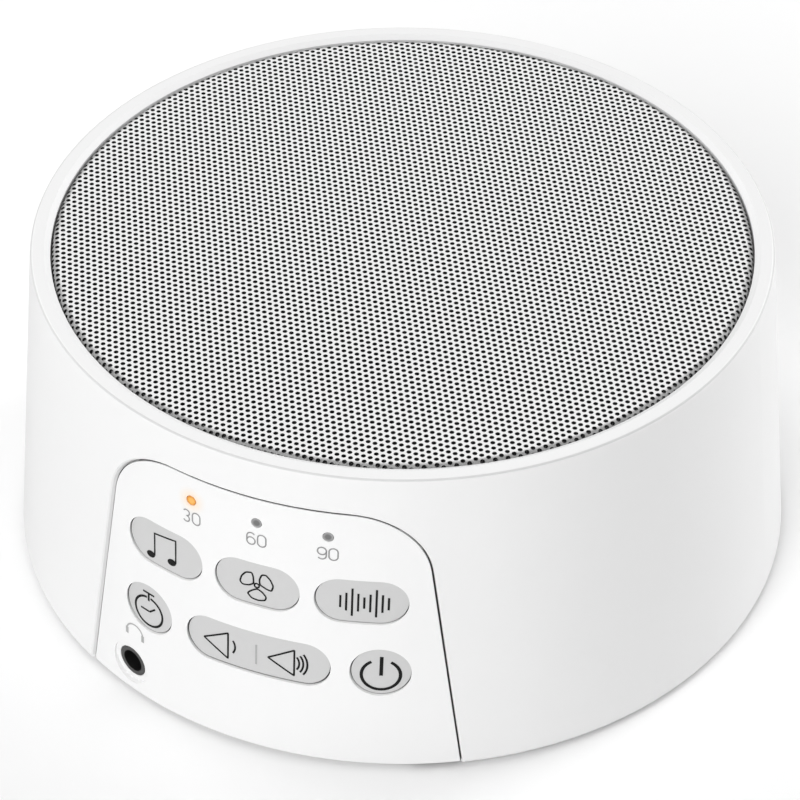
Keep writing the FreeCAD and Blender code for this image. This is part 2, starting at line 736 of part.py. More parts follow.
def terminals():
    """Strip on the flange with the two solder tags."""
    y = FLANGE_R - 3.0
    strip = block(-4.0, 4.0, y - 1.0, y + 1.0, flange_low - 1.2, flange_low)
    tags = [block(x - 0.9, x + 0.9, y - 0.3, y + 0.3, flange_low - 4.2, flange_low - 1.2) for x in (-2.2, 2.2)]
    return strip.fuse(tags[0]).fuse(tags[1])


def pipe(points, radius, curve):
    """Round lead along straight runs joined by arcs of one bend radius."""
    edges = []
    start = points[0]
    for before, corner, after in zip(points, points[1:], points[2:]):
        arrive = (corner - before).normalize()
        leave = (after - corner).normalize()
        half = arrive.getAngle(leave) / 2
        cut = curve * math.tan(half)
        p0 = corner - arrive * cut
        p1 = corner + leave * cut
        inward = (leave - arrive).normalize()
        middle = corner + inward * (curve / math.cos(half) - curve)
        edges.append(Part.makeLine(start, p0))
        edges.append(Part.Arc(p0, middle, p1).toShape())
        start = p1
    edges.append(Part.makeLine(start, points[-1]))
    path = Part.Wire(edges)
    first = (points[1] - points[0]).normalize()
    corners = [placed(Part.Vertex(*polar(radius, a), 0), *points[0], first).Point for a in around(6)]
    section = Part.makePolygon(corners + corners[:1])
    return path.makePipeShell([section], True, False)


speaker_plug = (-13.0, 30.0)
ribbon_plug = (RIBBON_X, -34.0)


def speaker_leads():
    y = FLANGE_R - 3.0 + 0.3 + LEAD_R + 0.05
    px, py = speaker_plug
    top = main_top + PLUG_H
    leads = []
    for side in (-1, 1):
        x = side * LEAD_SPREAD
        end_x = px + side * LEAD_PITCH / 2
        route = [Vector(x, y, flange_low - LEAD_TAIL), Vector(x, y, flange_low - LEAD_DROP),
                 Vector(end_x, py, top + LEAD_RISE + side * LEAD_STAGGER), Vector(end_x, py, top)]
        leads.append(pipe(route, LEAD_R, LEAD_CURVE))
    return group(leads)


def key_ribbon():
    """Flat cable from the back of the key board down to the main board."""
    px, py = ribbon_plug
    z = base_z + KEYBOARD_LOW + RIBBON_RISE
    y0 = keyboard_back
    low = main_top + PLUG_H
    reach = py - RIBBON_T / 2
    corner = RIBBON_CORNER
    turn = math.sqrt(0.5)
    out = reach + RIBBON_T
    r_out, r_in = corner + RIBBON_T, corner
    cz = z - r_in
    cy = out - r_out
    edges = [Part.makeLine(Vector(px, y0, z), Vector(px, y0, z + RIBBON_T)),
             Part.makeLine(Vector(px, y0, z + RIBBON_T), Vector(px, cy, z + RIBBON_T)),
             Part.Arc(Vector(px, cy, cz + r_out), Vector(px, cy + r_out * turn, cz + r_out * turn),
                      Vector(px, cy + r_out, cz)).toShape(),
             Part.makeLine(Vector(px, out, cz), Vector(px, out, low)),
             Part.makeLine(Vector(px, out, low), Vector(px, reach, low)),
             Part.makeLine(Vector(px, reach, low), Vector(px, reach, cz)),
             Part.Arc(Vector(px, cy + r_in, cz), Vector(px, cy + r_in * turn, cz + r_in * turn),
                      Vector(px, cy, z)).toShape(),
             Part.makeLine(Vector(px, cy, z), Vector(px, y0, z))]
    face = Part.Face(Part.Wire(edges))
    return face.extrude(Vector(RIBBON_W, 0, 0)).translated(Vector(-RIBBON_W / 2, 0, 0))


def base_cover():
    """Disc inside the bottom of the wall, with foot pockets, screw bosses and board posts."""
    disc = drum(base_low, base_top, WALL + BASE_GAP)
    for x, y in base_places:
        disc = disc.fuse(peg_z(BASE_BOSS_R + BASE_BOSS_WALL, x, y, base_low, base_low + BASE_BOSS_H))
    front = window_prism(PANEL_LIP + BASE_GAP)
    keep = drum(base_low - BEYOND, base_top + BEYOND, WALL + CLEAR + PANEL_LIP_T + BASE_GAP)
    disc = disc.cut(front.cut(keep))
    disc = disc.common(drum(base_low, base_low + BASE_BOSS_H, WALL + BASE_GAP))
    for x, y in post_places:
        disc = disc.fuse(peg_z(POST_R, x, y, base_low + BASE_T / 2, main_low))
        disc = disc.cut(peg_z(SCREW_R + SCREW_GAP, x, y, base_top + CLEAR, main_low + 1))
    pocket_top = FOOT_T
    for x, y in base_places:
        disc = disc.cut(rod_z(FOOT_R + FOOT_GAP, x, y, 0, pocket_top))
        disc = disc.cut(peg_z(SCREW_HEAD_R + SCREW_GAP, x, y, 0, pocket_top + SCREW_HEAD_T + CLEAR))
        disc = disc.cut(peg_z(SCREW_R + SCREW_GAP, x, y, 0, base_low + BASE_BOSS_H + 1))
    return disc


def foot(x, y):
    pad = rod_z(FOOT_R, x, y, 0, FOOT_T)
    return pad.makeChamfer(FOOT_ROUND, [e for e in pad.Edges if e.BoundBox.ZMax < FOOT_T / 2])


os.makedirs("parts", exist_ok=True)

save("housing_shell", housing_shell())
save("grille", grille())
save("dust_cloth", dust_cloth())
save("control_panel", control_panel())

for name, x in lamps.items():
    save("lens_" + name, lens(x))
save("indicator_lamps", group([lamp(x) for x in lamps.values()]))

for name, (x, z, long, high) in push_keys.items():
    save("key_" + name, push_key(name))
    save("plunger_" + name, plunger(x, z))
save("key_volume", volume_bar())
for name, x in bar_feet.items():
    save("plunger_" + name, plunger(x, key_row2))

switch_places = [(x, z) for x, z, long, high in push_keys.values()]
switch_places += [(x, key_row2) for x in bar_feet.values()]
save("switch_bodies", group([switch_body(x, z) for x, z in switch_places]))
save("key_board", key_board())
save("headphone_jack", headphone_jack())

save("main_board", main_board())
save("controller_chip", on_board(*CHIP_AT, CHIP_W, CHIP_W, CHIP_T))
save("amplifier_chip", on_board(*AMP_AT, AMP_W, AMP_W, CHIP_T))
save("capacitors", group([capacitor(CAN_AT[0], CAN_AT[1] + CAN_PITCH * i) for i in range(2)]))
save("speaker_plug", on_board(*speaker_plug, PLUG_W, PLUG_D, PLUG_H))
save("ribbon_plug", on_board(*ribbon_plug, RIBBON_W + 3.0, PLUG_D, PLUG_H))
save("power_socket", power_socket())

save("speaker_basket", speaker_basket())
save("speaker_top_plate", ring(MAGNET_R - 1.0, PLATE_BORE_R, top_plate_low, basket_seat))
save("speaker_magnet", ring(MAGNET_R, PLATE_BORE_R + 2.4, magnet_low, top_plate_low))
save("speaker_pole", speaker_pole())
save("speaker_cone", speaker_cone())
save("voice_coil", voice_coil())
save("dust_cap", dust_cap())
save("speaker_surround", surround())
save("speaker_spider", spider())
save("speaker_gasket", gasket())
save("speaker_terminals", terminals())
save("speaker_leads", speaker_leads())
save("key_ribbon", key_ribbon())

save("base_cover", base_cover())
foot_names = ("rear_right", "rear_left", "front_left", "front_right")
for name, (x, y) in zip(foot_names, base_places):
    save("foot_" + name, foot(x, y))

up = Vector(0, 0, 1)
base_screw = screw(BASE_BOSS_H - FOOT_T - SCREW_HEAD_T + base_low + 7.0)
save("base_screws", group([placed(base_screw, x, y, FOOT_T + SCREW_HEAD_T + CLEAR / 2, up)
                           for x, y in base_places]))
board_screw = screw(main_top - base_top - 0.8)
save("board_screws", group([placed(board_screw, x, y, main_top, Vector(0, 0, -1)) for x, y in post_places]))
key_screw = screw(BOARD_T + 4.4)
save("key_board_screws", group([placed(key_screw, x, keyboard_back, z, Vector(0, -1, 0))
                                for x, z in keyboard_places]))
speaker_screw = screw(deck_top - flange_low - 0.2)
save("speaker_screws", group([placed(speaker_screw, x, y, flange_low, up) for x, y in speaker_places]))
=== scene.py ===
"""A round white noise machine with a perforated top and a curved key panel, in metres."""
import math

import bmesh
import bpy
from mathutils import Matrix, Vector


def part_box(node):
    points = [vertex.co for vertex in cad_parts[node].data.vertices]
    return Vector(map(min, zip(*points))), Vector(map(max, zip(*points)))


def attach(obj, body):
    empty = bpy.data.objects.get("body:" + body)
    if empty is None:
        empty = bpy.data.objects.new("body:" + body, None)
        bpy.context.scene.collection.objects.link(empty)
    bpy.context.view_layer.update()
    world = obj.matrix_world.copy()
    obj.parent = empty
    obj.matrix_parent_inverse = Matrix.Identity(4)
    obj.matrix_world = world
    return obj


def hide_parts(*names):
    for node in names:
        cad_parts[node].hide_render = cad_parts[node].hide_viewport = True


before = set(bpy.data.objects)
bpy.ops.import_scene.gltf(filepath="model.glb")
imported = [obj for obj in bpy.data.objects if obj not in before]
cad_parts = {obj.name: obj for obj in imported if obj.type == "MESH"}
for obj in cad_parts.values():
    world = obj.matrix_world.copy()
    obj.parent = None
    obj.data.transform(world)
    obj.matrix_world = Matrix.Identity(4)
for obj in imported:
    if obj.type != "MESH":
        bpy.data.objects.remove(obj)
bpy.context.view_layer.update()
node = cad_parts
MM = 0.001

# The camera looks down on the machine from its front right, through a long lens, so that the
# perforated top reads as an almost round ellipse above the curved key panel.
CAMERA_AT = (0.13934, -0.3575, 0.3438)
CAMERA_PITCH = 49.82
CAMERA_TURN = 21.35
CAMERA_LENS = 146.3
CAMERA_SENSOR = 36
CAMERA_NEAR = 0.01

view = bpy.data.objects.new("camera", bpy.data.cameras.new("camera"))
view.location = CAMERA_AT
view.rotation_euler = (math.radians(CAMERA_PITCH), 0, math.radians(CAMERA_TURN))
view.data.lens = CAMERA_LENS
view.data.sensor_width = CAMERA_SENSOR
view.data.clip_start = CAMERA_NEAR
bpy.context.scene.collection.objects.link(view)
bpy.context.scene.camera = view
bpy.context.scene.view_settings.view_transform = "Standard"


class Wire:
    """A shader socket that takes part in sums, so that 1 - mask adds a Math node."""

    def __init__(self, socket):
        self.socket = socket
        self.tree = socket.id_data

    def node(self, kind, settings=None, inputs=None, output=0):
        """Adds a node: its settings go in first, then the values or links of its sockets."""
        made = self.tree.nodes.new(kind)
        for name, value in (settings or {}).items():
            setattr(made, name, value)
        for name, value in (inputs or {}).items():
            if isinstance(value, Wire):
                self.tree.links.new(value.socket, made.inputs[name])
            else:
                made.inputs[name].default_value = value
        return Wire(made.outputs[output])

    def sum(self, operation, first, second=0.0):
        return self.node("ShaderNodeMath", {"operation": operation}, {0: first, 1: second})

    def __add__(self, other):
        return self.sum("ADD", self, other)

    def __sub__(self, other):
        return self.sum("SUBTRACT", self, other)

    def __rsub__(self, other):
        return self.sum("SUBTRACT", other, self)

    def __mul__(self, other):
        return self.sum("MULTIPLY", self, other)

    def __truediv__(self, other):
        return self.sum("DIVIDE", self, other)

    __radd__ = __add__
    __rmul__ = __mul__

    def clipped(self):
        return self.node("ShaderNodeClamp", None, {"Value": self})

    def blend(self, low, high):
        """A colour between two, by this mask."""
        return self.node(
            "ShaderNodeMix",
            {"data_type": "RGBA"},
            {"Factor": self, 6: low, 7: high},
            output=2,
        )


def finish(name, **sockets):
    """A material on a Principled surface, with its constants set on the surface's own sockets."""
    material = bpy.data.materials.new(name)
    material.use_nodes = True
    surface = material.node_tree.nodes["Principled BSDF"]
    for socket, value in sockets.items():
        surface.inputs[socket.replace("_", " ")].default_value = value
    place = material.node_tree.nodes.new("ShaderNodeTexCoord").outputs["Object"]
    return material, surface, Wire(place)


def feed(surface, socket, wire):
    surface.id_data.links.new(wire.socket, surface.inputs[socket])


def grey(tone):
    return (tone, tone, tone, 1)


# A pale studio table. A wide soft box hangs in front and a weak one overhead, a low one stands
# behind at the right and a weak one at the left, so the white body goes grey only where it turns
# from them all. A lamp's level is the light it adds, where 1 shows a colour as it is written.
FLOOR_R = 3.0
FLOOR_SEEN = 0.92
FLOOR_LIT = 0.5
WORLD_LIGHT = 0.27
LAMP_AIM = Vector((0, 0, 0.03))
LAMPS = {
    "front_light": {"turn": -8, "rise": 35, "far": 1.6, "size": 1.1, "level": 0.64},
    "back_light": {"turn": 145, "rise": 15, "far": 1.3, "size": 0.7, "level": 0.82},
    "top_light": {"turn": 0, "rise": 88, "far": 1.5, "size": 0.9, "level": 0.2},
    "side_light": {"turn": -110, "rise": 25, "far": 1.4, "size": 0.8, "level": 0.3},
}

mesh = bmesh.new()
bmesh.ops.create_circle(mesh, cap_ends=True, segments=96, radius=FLOOR_R)
floor_mesh = bpy.data.meshes.new("floor")
mesh.to_mesh(floor_mesh)
mesh.free()
floor = bpy.data.objects.new("floor", floor_mesh)
bpy.context.scene.collection.objects.link(floor)

floor_paint, surface, place = finish("floor_paint", Roughness=0.9, Specular_IOR_Level=0.1)
seen = place.node("ShaderNodeLightPath", output=0) + place.node("ShaderNodeLightPath", output=2)
feed(surface, "Base Color", seen.clipped().blend(grey(FLOOR_LIT), grey(FLOOR_SEEN)))
floor_mesh.materials.append(floor_paint)

world = bpy.data.worlds.new("studio")
bpy.context.scene.world = world
world.use_nodes = True
sky = world.node_tree.nodes["Background"]
sky_rays = Wire(world.node_tree.nodes.new("ShaderNodeLightPath").outputs["Is Camera Ray"])
strength = sky_rays * (1 - WORLD_LIGHT) + WORLD_LIGHT
world.node_tree.links.new(strength.socket, sky.inputs["Strength"])
sky.inputs["Color"].default_value = grey(1)

for name, lamp in LAMPS.items():
    light = bpy.data.objects.new(name, bpy.data.lights.new(name, "AREA"))
    light.data.shape = "DISK"
    light.data.size = lamp["size"]
    light.data.energy = lamp["level"] * (math.pi * lamp["far"]) ** 2
    turn = Matrix.Rotation(math.radians(lamp["turn"]), 3, "Z")
    rise = Matrix.Rotation(math.radians(-lamp["rise"]), 3, "X")
    away = turn @ rise @ Vector((0, -lamp["far"], 0))
    light.location = LAMP_AIM + away
    light.rotation_euler = (-away).to_track_quat("-Z", "Y").to_euler()
    bpy.context.scene.collection.objects.link(light)


# The housing is one injection moulding in white ABS with a fine spark-eroded texture: a slightly
# tapered wall, a flat rim with a bevelled well for the grille, and a chamfered panel window.
ABS_WHITE = 0.86
ABS_GRAIN = 2600
ABS_GRAIN_DEPTH = 0.012 * MM
GRAIN_SHINE = 0.12
CLOUD_SCALE = 60.0
CLOUD_PALE = 1.012
CLOUD_DEEP = 0.985
TOP_R = 55.0 * MM
BASE_R = 59.7 * MM
PANEL_SINK = 0.54 * MM
# Painted shade: the window's chamfer, its seam away from the left side, and the rim's rounded outer edge
# are darkened in the colour.
SEAM_SHADE = 0.015
SEAM_FROM_X = (-24 * MM, -19 * MM)
SEAM_DEEP = (PANEL_SINK - 0.16 * MM, PANEL_SINK - 0.1 * MM)
CHAMFER_SHADE = 0.7
CHAMFER_DEEP = (0.2 * MM, 0.26 * MM)
WINDOW_FOOT = (1.4 * MM, 1.7 * MM)
CREASE_SHADE = 0.66
CREASE_BELOW_RIM = (0.352 * MM, 0.22 * MM)
CREASE_DEEP = (0.22 * MM, 0.33 * MM)

shell_low, shell_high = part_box("housing_shell")
window_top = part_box("control_panel")[1].z


def wall_r(z):
    """Outer radius of the tapered wall, for a height or for a shader's height."""
    return BASE_R + (z - shell_low.z) * ((TOP_R - BASE_R) / (shell_high.z - shell_low.z))


def radius_at(place):
    """Shader value of the distance from the machine's upright axis."""
    flat = place.node("ShaderNodeVectorMath", {"operation": "MULTIPLY"}, {0: place, 1: (1, 1, 0)})
    return flat.node("ShaderNodeVectorMath", {"operation": "LENGTH"}, {0: flat}, output=1)


def height_and_depth(place):
    """Shader values of the height and of how far inside the wall's surface a point lies."""
    height = place.node("ShaderNodeSeparateXYZ", None, {0: place}, output=2)
    return height, wall_r(height) - radius_at(place)


def ramp(value, start, stop):
    """Goes from 0 to 1 while the value goes from start to stop."""
    return ((value - start) / (stop - start)).clipped()


def moulded(name, tone, roughness=0.42, grain=ABS_GRAIN, depth=ABS_GRAIN_DEPTH, marks=None):
    """A moulded plastic: faint cloudy tone, and a fine grain that reads only close up.
    marks takes the place and the colour so far, and returns the colour with its painted shade and painted
    glow, or with the part's own tones."""
    colour = tone if isinstance(tone, tuple) else (tone, tone, tone)
    material, surface, place = finish(name, Roughness=roughness)
    cloud = place.node("ShaderNodeTexNoise", None, {"Vector": place, "Scale": CLOUD_SCALE})
    pale = (*[min(part * CLOUD_PALE, 1) for part in colour], 1)
    deep = (*[part * CLOUD_DEEP for part in colour], 1)
    plain = cloud.blend(deep, pale)
    feed(surface, "Base Color", marks(place, plain) if marks else plain)
    speck = place.node(
        "ShaderNodeTexNoise", None, {"Vector": place, "Scale": float(grain), "Detail": 3.0}
    )
    feed(surface, "Roughness", speck * GRAIN_SHINE + (roughness - GRAIN_SHINE / 2))
    bump = place.node("ShaderNodeBump", None, {"Height": speck, "Distance": depth})
    feed(surface, "Normal", bump)
    return material


def dress(material, *names):
    for name in names:
        for slot in node[name].material_slots:
            slot.material = material


def place_mesh(bm, name, material, body="body", smooth=False):
    """Makes the bmesh an object at the origin that rides on a body."""
    made = bpy.data.meshes.new(name)
    bmesh.ops.recalc_face_normals(bm, faces=bm.faces)
    bm.to_mesh(made)
    bm.free()
    if smooth:
        made.shade_smooth()
    made.materials.append(material)
    piece = bpy.data.objects.new(name, made)
    bpy.context.scene.collection.objects.link(piece)
    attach(piece, body)
    return piece


def shell_painted_shade(place, plain):
    """Painted shade: a greyed chamfer and a dark seam round the window, and a faint grey line at the rim's
    rounded outer edge.
    """
    height, depth = height_and_depth(place)
    in_window = (1 - ramp(height, window_top, window_top + MM)) * ramp(height, *WINDOW_FOOT)
    across = place.node("ShaderNodeSeparateXYZ", None, {0: place}, output=0)
    bevel = ramp(depth, *CHAMFER_DEEP) * in_window
    seam = ramp(depth, *SEAM_DEEP) * in_window * ramp(across, *SEAM_FROM_X)
    crease = ramp(height, *(shell_high.z - drop for drop in CREASE_BELOW_RIM))
    crease = crease * (1 - ramp(depth, *CREASE_DEEP))
    edge_shaded = crease.blend(plain, grey(CREASE_SHADE))
    return seam.blend(bevel.blend(edge_shaded, grey(CHAMFER_SHADE)), grey(SEAM_SHADE))


white_abs = moulded("white_abs", ABS_WHITE, marks=shell_painted_shade)
dress(white_abs, "housing_shell")


# The grille is one sheet of white painted steel, punched with several thousand round holes in staggered
# rows and rolled over at its edge, so the outermost holes turn down into the well. The roll is painted
# darker as painted shade, and the walls of the holes are painted near black as painted shade inside the
# holes.
HOLE_PITCH = 1.0 * MM
HOLE_R = 0.36 * MM
HOLE_SIDES = 8
GRILLE_SHEET = 0.4 * MM
GRILLE_PALE = 0.84
GRILLE_DEEP = 0.80
HOLE_WALL_SHADE = 0.015
ROLL_SHADE = 0.3
ROLL_SHADE_FADE = (-0.15 * MM, 0.35 * MM)
PAINT_DEPTH = 0.01 * MM
GRILLE_ROLL_R = 0.9 * MM
GRILLE_SKIRT = 0.8 * MM
GRILLE_BANDS = 3
DOUBLINGS = 7

grille_low, grille_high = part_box("grille")
sheet_top = grille_high.z
roll_starts = grille_high.x - GRILLE_ROLL_R
unrolled_r = roll_starts + GRILLE_ROLL_R * math.pi / 2 + GRILLE_SKIRT

# One hole and the square of sheet round it. The square's own middle line is taken out, so that the
# two rings of edges that are left can be bridged.
cell = bmesh.new()
half = HOLE_PITCH / 2
bmesh.ops.create_circle(
    cell, segments=HOLE_SIDES, radius=HOLE_R, matrix=Matrix.Rotation(math.pi / 8, 4, "Z")
)
bmesh.ops.create_grid(cell, x_segments=2, y_segments=1, size=half)
bmesh.ops.delete(cell, geom=cell.faces[:], context="FACES_ONLY")
middle = [e for e in cell.edges if all(abs(v.co.x) < half / 9 and abs(v.co.y) > HOLE_R for v in e.verts)]
bmesh.ops.delete(cell, geom=middle, context="EDGES")
bmesh.ops.bridge_loops(cell, edges=cell.edges[:])


def doubled(bm, step):
    """Adds a copy of everything so far, moved by a step."""
    copy = bmesh.ops.duplicate(bm, geom=bm.verts[:] + bm.edges[:] + bm.faces[:])
    moved = [part for part in copy["geom"] if isinstance(part, bmesh.types.BMVert)]
    bmesh.ops.translate(bm, verts=moved, vec=step)


doubled(cell, (half, HOLE_PITCH, 0))
for times in range(DOUBLINGS):
    doubled(cell, (HOLE_PITCH * 2**times, 0, 0))
for times in range(DOUBLINGS - 1):
    doubled(cell, (0, 2 * HOLE_PITCH * 2**times, 0))
span = HOLE_PITCH * 2**DOUBLINGS
bmesh.ops.translate(cell, verts=cell.verts, vec=(-span / 2, -span / 2, 0))
bmesh.ops.remove_doubles(cell, verts=cell.verts, dist=HOLE_PITCH / 50)


def cell_centre(face):
    """The hole that a face of the sheet belongs to, as row and column."""
    at = face.calc_center_median()
    row = math.floor((at.y + span / 2 + half) / HOLE_PITCH)
    shift = half if row % 2 else 0
    column = math.floor((at.x + span / 2 + half - shift) / HOLE_PITCH)
    return Vector((column * HOLE_PITCH + shift - span / 2, row * HOLE_PITCH - span / 2))


outside = [face for face in cell.faces if cell_centre(face).length > unrolled_r]
bmesh.ops.delete(cell, geom=outside, context="FACES")
for vert in cell.verts:
    run = Vector(vert.co.xy).length - roll_starts
    if run > 0:
        turn = min(run / GRILLE_ROLL_R, math.pi / 2)
        out = roll_starts + GRILLE_ROLL_R * math.sin(turn)
        down = GRILLE_ROLL_R * (1 - math.cos(turn)) + max(run - GRILLE_ROLL_R * math.pi / 2, 0)
        vert.co.xy = Vector(vert.co.xy).normalized() * out
        vert.co.z = -down
bmesh.ops.translate(cell, verts=cell.verts, vec=(0, 0, sheet_top))

grille_paint, surface, place = finish("grille_paint", Roughness=0.45)
chalk = place.node("ShaderNodeTexNoise", None, {"Vector": place, "Scale": 900.0, "Detail": 2.0})
# Painted shade: the sheet turns grey where it rolls down into the well.
roll_shade_mask = ramp(radius_at(place), *(roll_starts + step for step in ROLL_SHADE_FADE))
paint = chalk.blend(grey(GRILLE_DEEP), grey(GRILLE_PALE))
feed(surface, "Base Color", roll_shade_mask.blend(paint, grey(ROLL_SHADE)))
feed(surface, "Roughness", chalk * 0.1 + 0.4)
bump = place.node("ShaderNodeBump", None, {"Height": chalk, "Distance": PAINT_DEPTH})
feed(surface, "Normal", bump)

# Painted shade: the walls of the holes are near black, standing in for the shade inside them.
grille_hole_shade, surface, place = finish("grille_hole_shade", Roughness=0.8, Specular_IOR_Level=0.2)
hole_shade_noise = place.node("ShaderNodeTexNoise", None, {"Vector": place, "Scale": 2000.0})
feed(surface, "Base Color", hole_shade_noise.blend(grey(HOLE_WALL_SHADE * 0.7), grey(HOLE_WALL_SHADE * 1.3)))

for index in range(GRILLE_BANDS):
    band = cell.copy()
    low = grille_low.y + (grille_high.y - grille_low.y) * index / GRILLE_BANDS
    high = grille_low.y + (grille_high.y - grille_low.y) * (index + 1) / GRILLE_BANDS
    other = []
    for face in band.faces:
        at = cell_centre(face).y
        inside = (index == 0 or at >= low) and (index == GRILLE_BANDS - 1 or at < high)
        if not inside:
            other.append(face)
    bmesh.ops.delete(band, geom=other, context="FACES")
    piece = place_mesh(band, f"grille_band_{index + 1}", grille_paint)
    thick = piece.modifiers.new("sheet", "SOLIDIFY")
    thick.thickness = GRILLE_SHEET
    thick.offset = -1
    piece.data.materials.append(grille_hole_shade)
    thick.material_offset_rim = 1
cell.free()
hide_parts("grille")


# Black acoustic cloth is stretched under the grille, as a flat disc of an open weave. It is why
# no light comes back out of the holes.
CLOTH_R = 50.4 * MM
CLOTH_DROP = 0.15 * MM
cloth_mesh = bmesh.new()
bmesh.ops.create_circle(cloth_mesh, cap_ends=True, cap_tris=True, segments=96, radius=CLOTH_R)
bmesh.ops.translate(
    cloth_mesh, verts=cloth_mesh.verts, vec=(0, 0, sheet_top - GRILLE_SHEET - CLOTH_DROP)
)
cloth_black, surface, place = finish("cloth_black", Roughness=0.95, Specular_IOR_Level=0.1)
weave = place.node("ShaderNodeTexChecker", None, {"Vector": place, "Scale": 4000.0}, output=1)
feed(surface, "Base Color", weave.blend(grey(0.004), grey(0.012)))
cloth = place_mesh(cloth_mesh, "acoustic_cloth", cloth_black)
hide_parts("dust_cloth")


# The control panel is a satin white moulding, curved with the wall and set back inside its window. Its
# cut-outs hold the keys. An amber glow from the lamp is painted into the plastic's colour round it, and
# the seams at the keys and at the window's top and right edges carry painted shade.
PANEL_WHITE = 0.88
GLOW_R = 2.7 * MM
PAINTED_GLOW = (1.0, 0.66, 0.34, 1)
KEY_SINK = PANEL_SINK + 0.35 * MM
# Painted shade: the key gaps and the window's top and right seams are darkened in the colour.
KEY_GAP_SHADE = 0.2
KEYS_ABOVE = 11 * MM
RIM_ABOVE = 43 * MM
RIM_BESIDE = 22.6 * MM
RIM_DEEP = (PANEL_SINK + 0.13 * MM, PANEL_SINK + 0.18 * MM)

lamp_low, lamp_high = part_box("lens_30")
lamp_at = (lamp_low + lamp_high) / 2
lamp_at.y = lamp_low.y


def panel_painted_glow_and_shade(place, plain):
    """Painted amber glow round the lit lens, and painted shade in the seams behind the keys and at the
    window's top and right edges.
    """
    away = place.node(
        "ShaderNodeVectorMath", {"operation": "DISTANCE"}, {0: place, 1: lamp_at}, output=1
    )
    glow = 1 - ramp(away, 0.0, GLOW_R)
    height, depth = height_and_depth(place)
    across = place.node("ShaderNodeSeparateXYZ", None, {0: place}, output=0)
    beside = ramp(across, RIM_BESIDE, RIM_BESIDE + MM / 5)
    outer = (beside + ramp(height, RIM_ABOVE, RIM_ABOVE + MM / 5)).clipped()
    rim = ramp(depth, *RIM_DEEP) * outer
    gap = ramp(depth, KEY_SINK, KEY_SINK + 0.2 * MM) * ramp(height, KEYS_ABOVE, KEYS_ABOVE + MM)
    lit = (glow * glow).blend(plain, PAINTED_GLOW)
    return rim.blend(gap.blend(lit, grey(KEY_GAP_SHADE)), grey(SEAM_SHADE))


panel_white = moulded("panel_white", PANEL_WHITE, roughness=0.36, marks=panel_painted_glow_and_shade)
dress(panel_white, "control_panel")


# Thin digits are printed on the panel in grey, and the signs on the keys in near-black ink. Each
# print lies on the curve of the surface that carries it. Drawings are flat and in millimetres.
INK_PROUD = 0.02 * MM
INK_T = 0.01 * MM
INK_UNEVEN = 0.08


def wall_y(x, z, inset):
    """The front of the wall, or of a layer that lies a little inside it."""
    return -math.sqrt((wall_r(z) - inset) ** 2 - x**2)


def bar(bm, start, stop, width):
    """A straight stroke, drawn flat in millimetres with x to the right and y up."""
    start, stop = Vector(start), Vector(stop)
    run = stop - start
    turn = Matrix.Rotation(math.atan2(run.y, run.x), 4, "Z")
    size = Matrix.Diagonal((run.length, width, 1, 1))
    at = Matrix.Translation(((start + stop) / 2).to_3d())
    bmesh.ops.create_grid(bm, x_segments=1, y_segments=1, size=0.5, matrix=at @ turn @ size)


def arc(bm, centre, radius, width, start, stop):
    """A round stroke from one angle to another, in degrees from the right."""
    ends = [bm.verts.new((radius + side * width / 2, 0, 0)) for side in (-1, 1)]
    edge = bm.edges.new(ends)
    turn = Matrix.Translation((*centre, 0)) @ Matrix.Rotation(math.radians(start), 4, "Z")
    bmesh.ops.transform(bm, verts=ends, matrix=turn)
    full = abs(stop - start) >= 360
    bmesh.ops.spin(
        bm,
        geom=[*ends, edge],
        cent=(*centre, 0),
        axis=(0, 0, 1),
        angle=math.radians(stop - start),
        steps=max(4, round(abs(stop - start) / 9)),
        use_merge=full,
    )


def disc(bm, centre, radii, tilt=0):
    size = Matrix.Diagonal((*radii, 1, 1))
    turn = Matrix.Rotation(math.radians(tilt), 4, "Z")
    bmesh.ops.create_circle(
        bm,
        cap_ends=True,
        segments=28,
        radius=1,
        matrix=Matrix.Translation((*centre, 0)) @ turn @ size,
    )


def outline(bm, corners, width, soft):
    """A closed line through a few corners, each one softened."""
    before = set(bm.faces)
    verts = [bm.verts.new((*corner, 0)) for corner in corners]
    bm.faces.new(verts)
    bmesh.ops.bevel(
        bm,
        geom=verts,
        affect="VERTICES",
        offset=soft,
        segments=4,
        profile=0.5,
        material=-1,
    )
    inner = [face for face in bm.faces if face not in before]
    bmesh.ops.inset_region(bm, faces=inner, thickness=width, use_even_offset=True, use_boundary=True)
    bmesh.ops.delete(bm, geom=inner, context="FACES")


def printed(bm, name, at, inset, material, body):
    """Lays a flat drawing on the curved front and gives the ink its thickness."""
    reach = math.ceil(max(abs(vert.co.x) for vert in bm.verts))
    for cut in range(-reach, reach):
        everything = bm.verts[:] + bm.edges[:] + bm.faces[:]
        bmesh.ops.bisect_plane(bm, geom=everything, plane_co=(cut + 0.5, 0, 0), plane_no=(1, 0, 0))
    for vert in bm.verts:
        x, z = at[0] + vert.co.x * MM, at[1] + vert.co.y * MM
        vert.co = (x, wall_y(x, z, inset) - INK_PROUD, z)
    copy = bmesh.ops.extrude_face_region(bm, geom=bm.faces[:])
    front = [part for part in copy["geom"] if isinstance(part, bmesh.types.BMVert)]
    bmesh.ops.translate(bm, verts=front, vec=(0, -INK_T, 0))
    return place_mesh(bm, name, material, body)


def ink(name, tone):
    """Screen ink: dense, a little glossy, with a slightly uneven film."""
    material, surface, place = finish(name, Roughness=0.5, Specular_IOR_Level=0.25)
    film = place.node("ShaderNodeTexNoise", None, {"Vector": place, "Scale": 3000.0})
    feed(surface, "Base Color", film.blend(grey(tone * (1 - INK_UNEVEN)), grey(tone * (1 + INK_UNEVEN))))
    feed(surface, "Roughness", film * 0.2 + 0.4)
    return material


